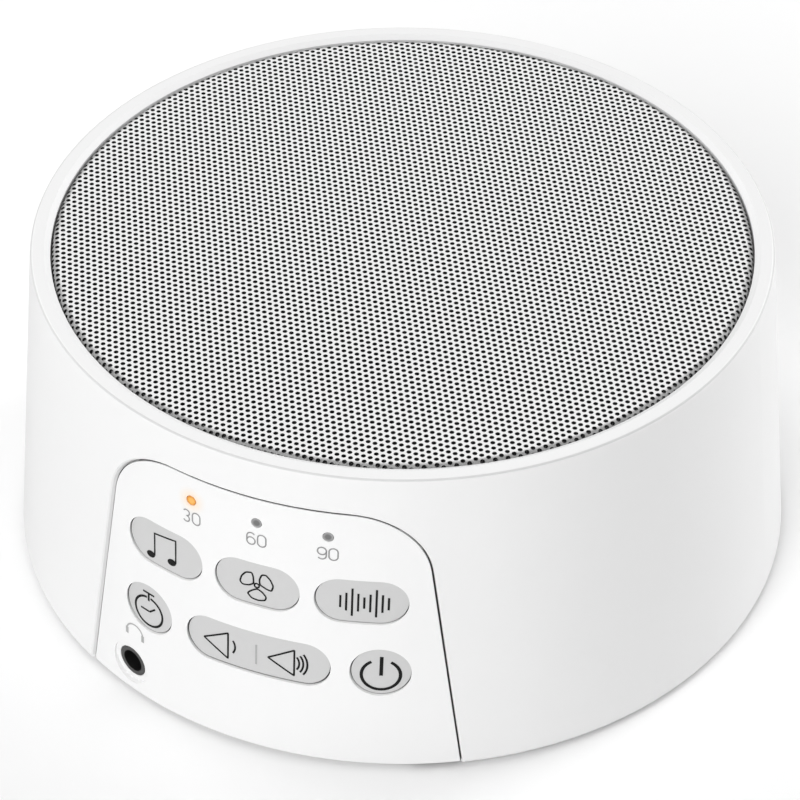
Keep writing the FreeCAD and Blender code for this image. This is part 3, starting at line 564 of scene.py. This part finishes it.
INK_GREY = 0.30
INK_DARK = 0.006
INK_PALE = 0.42
SIGN_LIFT = -2.9
DIGIT_H = 2.0
DIGIT_W = 1.25
DIGIT_STEP = 1.62
DIGIT_STROKE = 0.2

grey_ink = ink("grey_ink", INK_GREY)
dark_ink = ink("dark_ink", INK_DARK)
pale_ink = ink("pale_ink", INK_PALE)


def zero(bm, x):
    r, h = DIGIT_W / 2, DIGIT_H / 2
    arc(bm, (x, h - r), r, DIGIT_STROKE, 0, 180)
    arc(bm, (x, r - h), r, DIGIT_STROKE, 180, 360)
    for side in (-1, 1):
        bar(bm, (x + side * r, r - h), (x + side * r, h - r), DIGIT_STROKE)


def three(bm, x):
    r = DIGIT_H / 4
    arc(bm, (x, r), r, DIGIT_STROKE, -90, 150)
    arc(bm, (x, -r), r, DIGIT_STROKE, -150, 90)


def six(bm, x, flip=1):
    """A bowl with a tall side that bends over it. Turned half round, it is a nine."""
    r, h = DIGIT_W / 2, DIGIT_H / 2
    low, high = flip * (r - h), flip * (h - r)
    arc(bm, (x, low), r, DIGIT_STROKE, 0, 360)
    bar(bm, (x - flip * r, low), (x - flip * r, high), DIGIT_STROKE)
    start, stop = (180, 38) if flip > 0 else (0, -142)
    arc(bm, (x, high), r, DIGIT_STROKE, start, stop)


def nine(bm, x):
    six(bm, x, flip=-1)


DIGITS = {"30": (three, zero), "60": (six, zero), "90": (nine, zero)}
for minutes, shapes in DIGITS.items():
    low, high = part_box(f"lens_{minutes}")
    drawing = bmesh.new()
    for index, shape in enumerate(shapes):
        shape(drawing, (index - 0.5) * DIGIT_STEP)
    lamp_x, lamp_z = (low.x + high.x) / 2, (low.z + high.z) / 2
    place_at = (lamp_x, lamp_z + SIGN_LIFT * MM)
    number = printed(drawing, f"number_{minutes}", place_at, PANEL_SINK, grey_ink, "body")

# The music key shows two joined notes, two stems under one beam, each with a tilted head. A stem
# is its x and its lower and upper end.
STROKE = 0.25
STEMS = ((-1.97, -2.38, 1.53), (1.78, -1.89, 2.12))
NOTE_RADII = (0.75, 0.58)
NOTE_ASIDE = (-0.7, -0.12)
NOTE_TILT = 15
drawing = bmesh.new()
for x, low, high in STEMS:
    bar(drawing, (x, low), (x, high), STROKE)
(first_x, _, first_top), (last_x, _, last_top) = STEMS
bar(drawing, (first_x - STROKE / 2, first_top), (last_x + STROKE / 2, last_top), STROKE)
for x, low, high in STEMS:
    disc(drawing, (x + NOTE_ASIDE[0], low + NOTE_ASIDE[1]), NOTE_RADII, NOTE_TILT)
signs = {"music": drawing}

# The fan key shows three outlined blades round a small hub. A blade's corners are each a radius
# and an angle from its own middle line.
FAN_HUB = Vector((0, -0.35))
FAN_HUB_R = 0.36
BLADE_SOFT = 0.28
BLADE_TURNS = (32, 152, 272)
BLADE = ((0.4, 0), (1.6, -46), (2.35, -44), (2.68, -20), (2.7, 5), (2.75, 28), (2.3, 42), (1.2, 46))
drawing = bmesh.new()
for turn in BLADE_TURNS:
    blade = [
        FAN_HUB + r * Vector((math.cos(math.radians(turn + a)), math.sin(math.radians(turn + a))))
        for r, a in BLADE
    ]
    outline(drawing, blade, STROKE, BLADE_SOFT)
arc(drawing, FAN_HUB, FAN_HUB_R, STROKE, 0, 360)
signs["fan"] = drawing

# The noise key shows a sound as nine upright strokes, long and short, each given by its own
# height and all on one middle line.
NOISE_BARS = (2.15, 3.13, 4.84, 3.13, 2.0, 3.13, 4.84, 3.13, 2.15)
NOISE_MIDDLE = Vector((0.42, -0.3))
NOISE_STEP = 0.82
NOISE_STROKE = 0.3
drawing = bmesh.new()
for index, tall in enumerate(NOISE_BARS):
    at = NOISE_MIDDLE + Vector(((index - len(NOISE_BARS) // 2) * NOISE_STEP, 0))
    half_bar = Vector((0, tall / 2))
    bar(drawing, at - half_bar, at + half_bar, NOISE_STROKE)
signs["noise"] = drawing

# The timer key shows a stopwatch: a ring that is open at the top, a crown on its stalk, and two
# hands that meet beside the middle.
CLOCK_X, CLOCK_Z = -0.2, -0.9
CLOCK_R = 2.5
CLOCK_STROKE = 0.36
CLOCK_OPEN = 8
CROWN_Z = 2.4
CROWN_HALF = 1.04
CROWN_STROKE = 0.32
STALK = (2.26, 1.0)
STALK_STROKE = 0.34
HANDS = ((-1.67, -0.86), (0.0, -0.86), (0.97, 0.07))
HAND_STROKE = 0.28
drawing = bmesh.new()
arc(drawing, (CLOCK_X, CLOCK_Z), CLOCK_R, CLOCK_STROKE, 90 + CLOCK_OPEN, 450 - CLOCK_OPEN)
crown_ends = [(CLOCK_X + side * CROWN_HALF, CROWN_Z) for side in (-1, 1)]
bar(drawing, *crown_ends, CROWN_STROKE)
bar(drawing, *((CLOCK_X, height) for height in STALK), STALK_STROKE)
for start, stop in zip(HANDS, HANDS[1:]):
    bar(drawing, start, stop, HAND_STROKE)
signs["timer"] = drawing

# The power key shows a ring that is open at the top, with an upright stroke through the opening.
# The stroke is its x and its lower and upper end.
POWER_R = 2.65
POWER_OPEN = 30
POWER_Z = -0.66
POWER_RING = 0.46
POWER_BAR = (0.05, -0.8, 2.6)
POWER_BAR_W = 0.5
drawing = bmesh.new()
arc(drawing, (0, POWER_Z), POWER_R, POWER_RING, 90 + POWER_OPEN, 450 - POWER_OPEN)
x, low, high = POWER_BAR
bar(drawing, (x, low), (x, high), POWER_BAR_W)
signs["power"] = drawing

# The volume bar shows an outlined wedge at each end, with one sound wave beside the left one and
# three beside the right one. A wedge is the x of its tip and of its far side, and that side's
# lower and upper end. A wave is the x of its centre and its radius.
WEDGES = ((-8.65, -4.3, -3.0, 2.1), (1.53, 5.9, -2.9, 2.2))
WEDGE_Z = -0.35
WEDGE_STROKE = 0.28
WEDGE_SOFT = 0.4
WAVES = ((-5.2, 1.9), (4.6, 1.9), (4.6, 2.5), (4.6, 3.1))
WAVE_HALF = 36
WAVE_STROKE = 0.3
drawing = bmesh.new()
for tip, far, low, high in WEDGES:
    outline(drawing, ((tip, WEDGE_Z), (far, low), (far, high)), WEDGE_STROKE, WEDGE_SOFT)
for x, r in WAVES:
    arc(drawing, (x, WEDGE_Z), r, WAVE_STROKE, -WAVE_HALF, WAVE_HALF)
signs["volume"] = drawing

for key, drawing in signs.items():
    low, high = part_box(f"key_{key}")
    centre = ((low.x + high.x) / 2, (low.z + high.z) / 2)
    sign = printed(drawing, f"sign_{key}", centre, KEY_SINK, dark_ink, f"{key}_key")

# A pale line divides the volume bar in two, and a pale headphone sign, a band with two ear pads,
# stands on the panel over the jack.
DIVIDER = (-2.2, 1.3)
DIVIDER_W = 0.28
low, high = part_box("key_volume")
centre = ((low.x + high.x) / 2, (low.z + high.z) / 2)
drawing = bmesh.new()
bar(drawing, *((0, height) for height in DIVIDER), DIVIDER_W)
divider = printed(drawing, "volume_divider", centre, KEY_SINK, pale_ink, "volume_key")

PHONES_AT = (-20.7 * MM, 11.6 * MM)
BAND_R = 1.55
BAND_STROKE = 0.24
BAND_ENDS = (15, 165)
PAD_X = 1.5
PAD_ENDS = (0.4, -0.75)
PAD_W = 0.5
drawing = bmesh.new()
arc(drawing, (0, 0), BAND_R, BAND_STROKE, *BAND_ENDS)
for side in (-1, 1):
    bar(drawing, *((side * PAD_X, height) for height in PAD_ENDS), PAD_W)
phones = printed(drawing, "sign_headphones", PHONES_AT, PANEL_SINK, pale_ink, "body")

# The keys are moulded in pale grey with a matt face. Each sits a little below the panel in its
# own cut-out and follows the panel's curve.
KEY_GREY = 0.60
key_grey = moulded("key_grey", KEY_GREY, roughness=0.5)
dress(key_grey, *(f"key_{key}" for key in signs))

# Three small lenses of glossy plastic stand in the panel over their lamps. The one for 30 minutes
# is lit, in amber with a darker rim, and the other two are grey.
LENS_R = 0.7 * MM
LENS_CORE_R = 0.55 * LENS_R
LENS_CORE = 0.17
LENS_RIM = 0.4
LIT_PLASTIC_CORE = (0.35, 0.18, 0.05, 1)
LIT_PLASTIC_RIM = (0.4, 0.16, 0.03, 1)
LIT_CORE = (1.0, 0.55, 0.13, 1)
LIT_RIM = (0.62, 0.24, 0.03, 1)
LIT_LEVEL = 0.6
for minutes in DIGITS:
    lens, surface, place = finish(f"lens_{minutes}", Roughness=0.14)
    low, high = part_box(f"lens_{minutes}")
    axis = Vector(((low.x + high.x) / 2, low.y, (low.z + high.z) / 2))
    away = place.node("ShaderNodeVectorMath", {"operation": "DISTANCE"}, {0: place, 1: axis}, output=1)
    edge = ramp(away, LENS_CORE_R, LENS_R)
    if minutes == "30":
        feed(surface, "Base Color", edge.blend(LIT_PLASTIC_CORE, LIT_PLASTIC_RIM))
        feed(surface, "Emission Color", edge.blend(LIT_CORE, LIT_RIM))
        surface.inputs["Emission Strength"].default_value = LIT_LEVEL
    else:
        feed(surface, "Base Color", edge.blend(grey(LENS_CORE), grey(LENS_RIM)))
    dress(lens, f"lens_{minutes}")

# The headphone jack looks straight out of the curved panel: a dark grey collar whose bore is painted near
# black as painted shade, in a shallow white dish of the panel.
JACK_Z = 5.6 * MM
JACK_TURN = math.radians(-21.6)
JACK_LOOKS = Vector((math.sin(JACK_TURN), -math.cos(JACK_TURN), 0))
BORE_R = 1.8 * MM
BORE_EDGE_R = 1.908 * MM
COLLAR_GREY = 0.06
BORE_SHADE = 0.008


def jack_collar_and_bore_shade(place, plain):
    """Grey on the collar's face, and painted shade, near black, inside its bore, by the distance from the
    jack's line.
    """
    on_line = (0, 0, JACK_Z)
    from_jack = place.node("ShaderNodeVectorMath", {"operation": "SUBTRACT"}, {0: place, 1: on_line})
    turned = from_jack.node(
        "ShaderNodeVectorMath", {"operation": "CROSS_PRODUCT"}, {0: from_jack, 1: JACK_LOOKS}
    )
    off_axis = turned.node("ShaderNodeVectorMath", {"operation": "LENGTH"}, {0: turned}, output=1)
    return ramp(off_axis, BORE_R, BORE_EDGE_R).blend(grey(BORE_SHADE), grey(COLLAR_GREY))


dress(moulded("jack_black", COLLAR_GREY, roughness=0.45, marks=jack_collar_and_bore_shade), "headphone_jack")

# The base is a matt white moulding, screwed up into the housing. It stands on four black rubber
# feet, whose surface is rougher than the mouldings'.
base_white = moulded("base_white", 0.8, roughness=0.5)
dress(base_white, "base_cover")
rubber = moulded("foot_rubber", 0.05, roughness=0.75, grain=1500, depth=0.03 * MM)
dress(rubber, *(name for name in node if name.startswith("foot_")))

# Black and ivory mouldings inside: the power socket, the switches with their plungers, the chips
# and the two plugs.
inside_black = moulded("inside_black", 0.03, roughness=0.4)
dress(inside_black, "power_socket", "switch_bodies")
chip_epoxy = moulded("chip_epoxy", 0.025, roughness=0.55, grain=5000)
dress(chip_epoxy, "controller_chip", "amplifier_chip")
nylon = moulded("ivory_nylon", (0.78, 0.72, 0.58), roughness=0.45)
plungers = [name for name in node if name.startswith("plunger_")]
dress(nylon, "speaker_plug", "ribbon_plug", *plungers)
lamp_epoxy = moulded("lamp_epoxy", (0.75, 0.72, 0.62), roughness=0.2)
dress(lamp_epoxy, "indicator_lamps")

# Both boards are glass fibre under green solder resist, where the copper tracks show as slightly
# paler lines.
RESIST_DEEP = (0.012, 0.09, 0.035, 1)
RESIST_PALE = (0.02, 0.16, 0.06, 1)
resist, surface, place = finish("solder_resist", Roughness=0.32)
track = place.node(
    "ShaderNodeTexBrick",
    None,
    {"Vector": place, "Scale": 160.0, "Color1": RESIST_PALE, "Color2": RESIST_DEEP, "Mortar": RESIST_DEEP},
)
feed(surface, "Base Color", track)
dress(resist, "key_board", "main_board")


# The speaker's plates, pole and terminals are zinc-plated steel, and so are all the screws. The
# capacitors have a metal can, the ferrite ring is dull and dark, and the basket is enamelled.
METAL_SHINE = 0.2


def metal(name, colour, roughness):
    """Bare or plated metal, with a fine uneven shine."""
    material, surface, place = finish(name, Metallic=1.0)
    fine = place.node("ShaderNodeTexNoise", None, {"Vector": place, "Scale": 900.0, "Detail": 4.0})
    pale, deep = (*colour, 1), (*[part * 0.8 for part in colour], 1)
    feed(surface, "Base Color", fine.blend(deep, pale))
    feed(surface, "Roughness", fine * METAL_SHINE + (roughness - METAL_SHINE / 2))
    return material


zinc = metal("zinc_plate", (0.62, 0.62, 0.6), 0.32)
screws = [name for name in node if name.endswith("_screws")]
dress(zinc, "speaker_top_plate", "speaker_pole", "speaker_terminals", *screws)
dress(metal("can_sleeve", (0.5, 0.5, 0.53), 0.35), "capacitors")
dress(moulded("ferrite", 0.05, roughness=0.7, grain=1200, depth=0.04 * MM), "speaker_magnet")
dress(moulded("basket_enamel", 0.02, roughness=0.3, grain=900, depth=0.02 * MM), "speaker_basket")


# The cone and its cap are pressed black paper pulp, and the coil is enamelled copper wire. The
# flat cable is grey and the speaker's two leads are red.
FIBRE_DEPTH = 0.05 * MM


def fibre(name, deep, pale, scale):
    """Pulp, cloth or foam: a soft broken surface with a bump of its own."""
    material, surface, place = finish(name, Roughness=0.9, Specular_IOR_Level=0.2)
    thread = place.node("ShaderNodeTexVoronoi", None, {"Vector": place, "Scale": scale})
    mix = (thread * 1.6).clipped()
    feed(surface, "Base Color", mix.blend((*deep, 1), (*pale, 1)))
    bump = place.node("ShaderNodeBump", None, {"Height": thread, "Distance": FIBRE_DEPTH})
    feed(surface, "Normal", bump)
    return material


pulp = fibre("paper_pulp", (0.03, 0.03, 0.03), (0.07, 0.07, 0.07), 1800.0)
dress(pulp, "speaker_cone", "dust_cap")
copper, surface, place = finish("copper_winding", Metallic=1.0, Roughness=0.3)
turns = place.node(
    "ShaderNodeTexWave", {"bands_direction": "Z"}, {"Vector": place, "Scale": 1600.0}, output=1
)
feed(surface, "Base Color", turns.blend((0.35, 0.12, 0.04, 1), (0.75, 0.36, 0.16, 1)))
dress(copper, "voice_coil")
dress(moulded("ribbon_grey", 0.6, roughness=0.5), "key_ribbon")
dress(moulded("lead_red", (0.4, 0.04, 0.03), roughness=0.45), "speaker_leads")


# The cone hangs in a half roll of foam and a rippled ring of resin-dipped cloth, and the speaker
# seals against the deck with a soft foam gasket. All three are rings about the machine's axis.
ROLL_T = 0.45 * MM
ROLL_ARC = 12
ROLL_GAP = 0.1 * MM


def spun(profile, name, material, body):
    """Turns a closed profile of radius and height about the machine's upright axis."""
    bm = bmesh.new()
    verts = [bm.verts.new((radius, 0, height)) for radius, height in profile]
    edges = [bm.edges.new((verts[i - 1], verts[i])) for i in range(len(verts))]
    bmesh.ops.spin(
        bm,
        geom=verts + edges,
        cent=(0, 0, 0),
        axis=(0, 0, 1),
        angle=math.tau,
        steps=72,
        use_merge=True,
    )
    return place_mesh(bm, name, material, body, smooth=True)


foam = fibre("foam_black", (0.03, 0.03, 0.03), (0.06, 0.06, 0.06), 2600.0)
dipped = fibre("dipped_cloth", (0.42, 0.27, 0.1), (0.62, 0.43, 0.2), 1500.0)

low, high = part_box("speaker_surround")
roll_outer, roll_rise = high.x, high.z - low.z
roll_w = roll_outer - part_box("speaker_cone")[1].x - ROLL_GAP
middle = roll_outer - roll_w / 2
angles = [math.pi * step / ROLL_ARC for step in range(ROLL_ARC + 1)]
over = [(middle + roll_w / 2 * math.cos(a), low.z + roll_rise * math.sin(a)) for a in angles]
under = [
    (middle + (roll_w / 2 - ROLL_T) * math.cos(a), low.z + (roll_rise - ROLL_T) * math.sin(a))
    for a in reversed(angles)
]
surround = spun(over + under, "surround_roll", foam, "body")
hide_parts("speaker_surround")

RIPPLES = 3
RIPPLE_STEPS = 12
SPIDER_T = 0.35 * MM
SPIDER_GAP_IN = 0.2 * MM
SPIDER_GAP_OUT = 0.05 * MM
low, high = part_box("speaker_spider")
spider_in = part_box("voice_coil")[1].x + SPIDER_GAP_IN
spider_out = high.x - SPIDER_GAP_OUT
wave = (high.z - low.z - SPIDER_T) / 2
steps = RIPPLE_STEPS * RIPPLES
ripple = []
for step in range(steps + 1):
    share = step / steps
    radius = spider_in + (spider_out - spider_in) * share
    rise = wave * math.sin(math.tau * RIPPLES * share)
    ripple.append((radius, (low.z + high.z) / 2 + rise))
top_side = [(radius, height + SPIDER_T / 2) for radius, height in ripple]
under_side = [(radius, height - SPIDER_T / 2) for radius, height in reversed(ripple)]
spider = spun(top_side + under_side, "spider_cloth", dipped, "body")
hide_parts("speaker_spider")

GASKET_W = 4.4 * MM
GASKET_CUT = 0.2 * MM
low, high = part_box("speaker_gasket")
inside, outside = high.x - GASKET_W, high.x
cut = GASKET_CUT
gasket_profile = [
    (inside + cut, low.z),
    (outside - cut, low.z),
    (outside, low.z + cut),
    (outside, high.z - cut),
    (outside - cut, high.z),
    (inside + cut, high.z),
    (inside, high.z - cut),
    (inside, low.z + cut),
]
gasket = spun(gasket_profile, "gasket_ring", foam, "body")
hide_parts("speaker_gasket")
